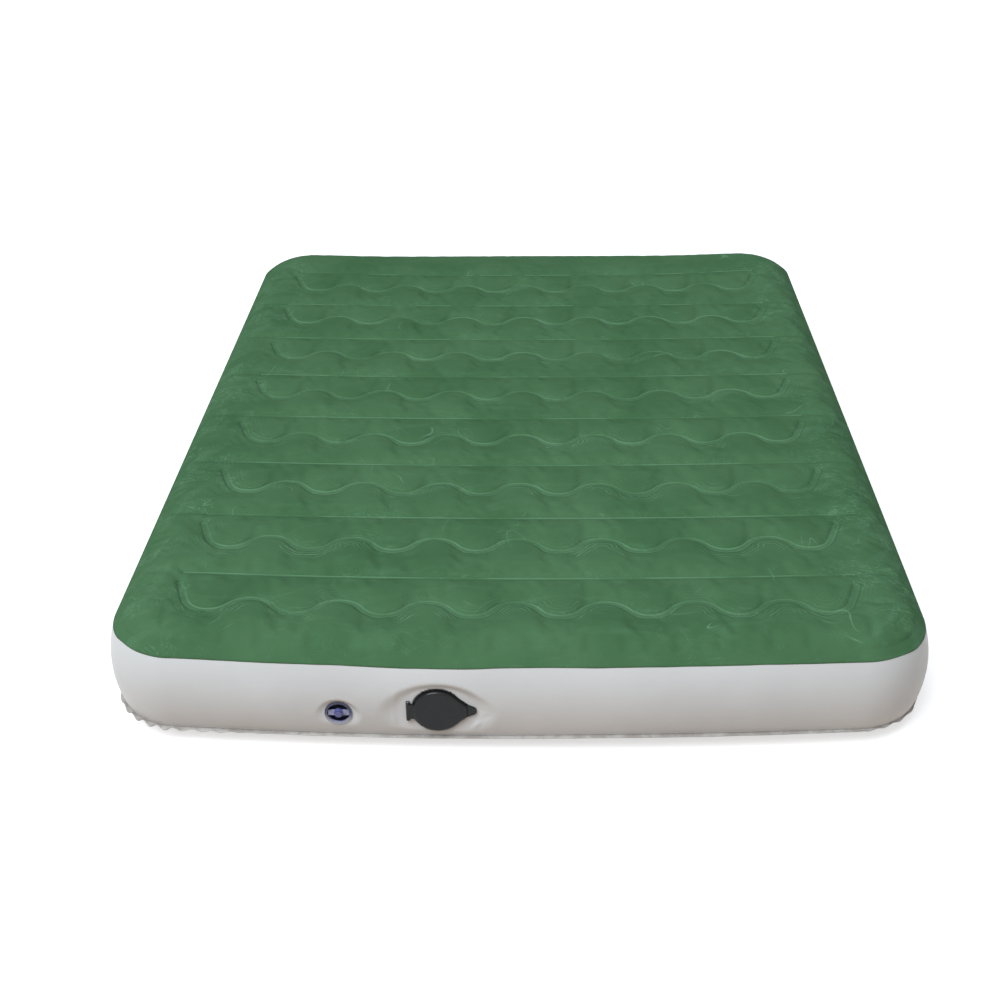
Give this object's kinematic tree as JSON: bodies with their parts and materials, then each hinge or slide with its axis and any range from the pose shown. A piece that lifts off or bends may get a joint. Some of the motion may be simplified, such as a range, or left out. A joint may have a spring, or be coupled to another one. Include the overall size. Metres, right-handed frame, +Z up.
{
  "type": "air mattress",
  "caption": "Flocked air mattress with straight and wavy beam welds, a built-in rechargeable pump under a hinged rubber cap, and a tinted two-way valve.",
  "frame": {"origin": "middle of the flat underside, on the floor", "axes": "+Z up, +Y along the length from the pump end to the far end, +X across the width"},
  "size_m": [1.52, 2.03, 0.22],
  "materials": {
    "flocked_vinyl": "short flock on vinyl",
    "grey_vinyl": "satin vinyl",
    "beam_vinyl": "plain vinyl",
    "dark_plastic": "fine texture",
    "grey_plastic": "fine texture",
    "black_rubber": "matt",
    "steel": "plain",
    "zinc_steel": "zinc plated",
    "cell_wrap": "shrink wrap",
    "board": "solder mask",
    "blue_clear_plastic": "tinted, see-through"
  },
  "bodies": {
    "bed": {"flocked_top": "flocked_vinyl", "pump_end_band": "grey_vinyl", "side_band": "grey_vinyl", "base_sheet": "grey_vinyl", "pump_collar": "grey_vinyl", "pump_housing": "dark_plastic", "pump_bezel": "dark_plastic", "pump_faceplate": "dark_plastic", "faceplate_screws": "steel", "charge_port": "steel", "motor_plate": "dark_plastic", "motor": "zinc_steel", "motor_screws": "steel", "battery_tray": "dark_plastic", "cell_straps": "steel", "circuit_board": "board", "flap_pin": "steel", "cap_pin": "steel", "valve_body": "blue_clear_plastic", "valve_gasket": "black_rubber", "valve_flap_pin": "steel", "straight_beam_1": "beam_vinyl", "wave_beam_1": "beam_vinyl", "straight_beam_2": "beam_vinyl", "wave_beam_2": "beam_vinyl", "straight_beam_3": "beam_vinyl", "wave_beam_3": "beam_vinyl", "straight_beam_4": "beam_vinyl", "wave_beam_4": "beam_vinyl", "straight_beam_5": "beam_vinyl", "wave_beam_5": "beam_vinyl", "straight_beam_6": "beam_vinyl", "wave_beam_6": "beam_vinyl", "straight_beam_7": "beam_vinyl", "wave_beam_7": "beam_vinyl", "straight_beam_8": "beam_vinyl", "wave_beam_8": "beam_vinyl", "battery_cell_1": "cell_wrap", "battery_cell_2": "cell_wrap", "battery_cell_3": "cell_wrap", "battery_cell_4": "cell_wrap"},
    "pump_cap": {"pump_cap": "black_rubber", "cap_gasket": "black_rubber"},
    "mode_dial": {"mode_dial": "grey_plastic", "dial_clip": "steel"},
    "impeller": {"impeller": "dark_plastic", "motor_shaft": "steel"},
    "outlet_flap": {"outlet_flap": "black_rubber"},
    "valve_cap": {"valve_cap": "blue_clear_plastic"},
    "valve_plug": {"valve_plug": "blue_clear_plastic"},
    "valve_flap": {"valve_flap": "blue_clear_plastic"}
  },
  "joints": [
    {"name": "pump_cap_hinge", "type": "hinge", "parent": "bed", "child": "pump_cap", "pos_m": [-0.1915, -1.0092, 0.096], "axis": [0, 0, -1], "range_deg": [0, 120]},
    {"name": "mode_dial_turn", "type": "hinge", "parent": "bed", "child": "mode_dial", "pos_m": [-0.1395, -0.992, 0.096], "axis": [0, -1, 0], "range_deg": [-60, 60]},
    {"name": "impeller_spin", "type": "hinge", "parent": "bed", "child": "impeller", "pos_m": [-0.1395, -0.972, 0.096], "axis": [0, -1, 0], "continuous": true},
    {"name": "outlet_flap_swing", "type": "hinge", "parent": "bed", "child": "outlet_flap", "pos_m": [-0.1395, -0.8847, 0.116], "axis": [1, 0, 0], "range_deg": [0, 45]},
    {"name": "valve_cap_turn", "type": "hinge", "parent": "bed", "child": "valve_cap", "pos_m": [-0.3172, -0.99328, 0.0864], "axis": [0, -1, 0], "range_deg": [0, 90]},
    {"name": "valve_plug_pull", "type": "slide", "parent": "valve_cap", "child": "valve_plug", "axis": [0, -1, 0], "range_m": [0, 0.014]},
    {"name": "valve_flap_swing", "type": "hinge", "parent": "bed", "child": "valve_flap", "pos_m": [-0.3172, -0.98578, 0.1024], "axis": [1, 0, 0], "range_deg": [0, 24]}
  ]
}
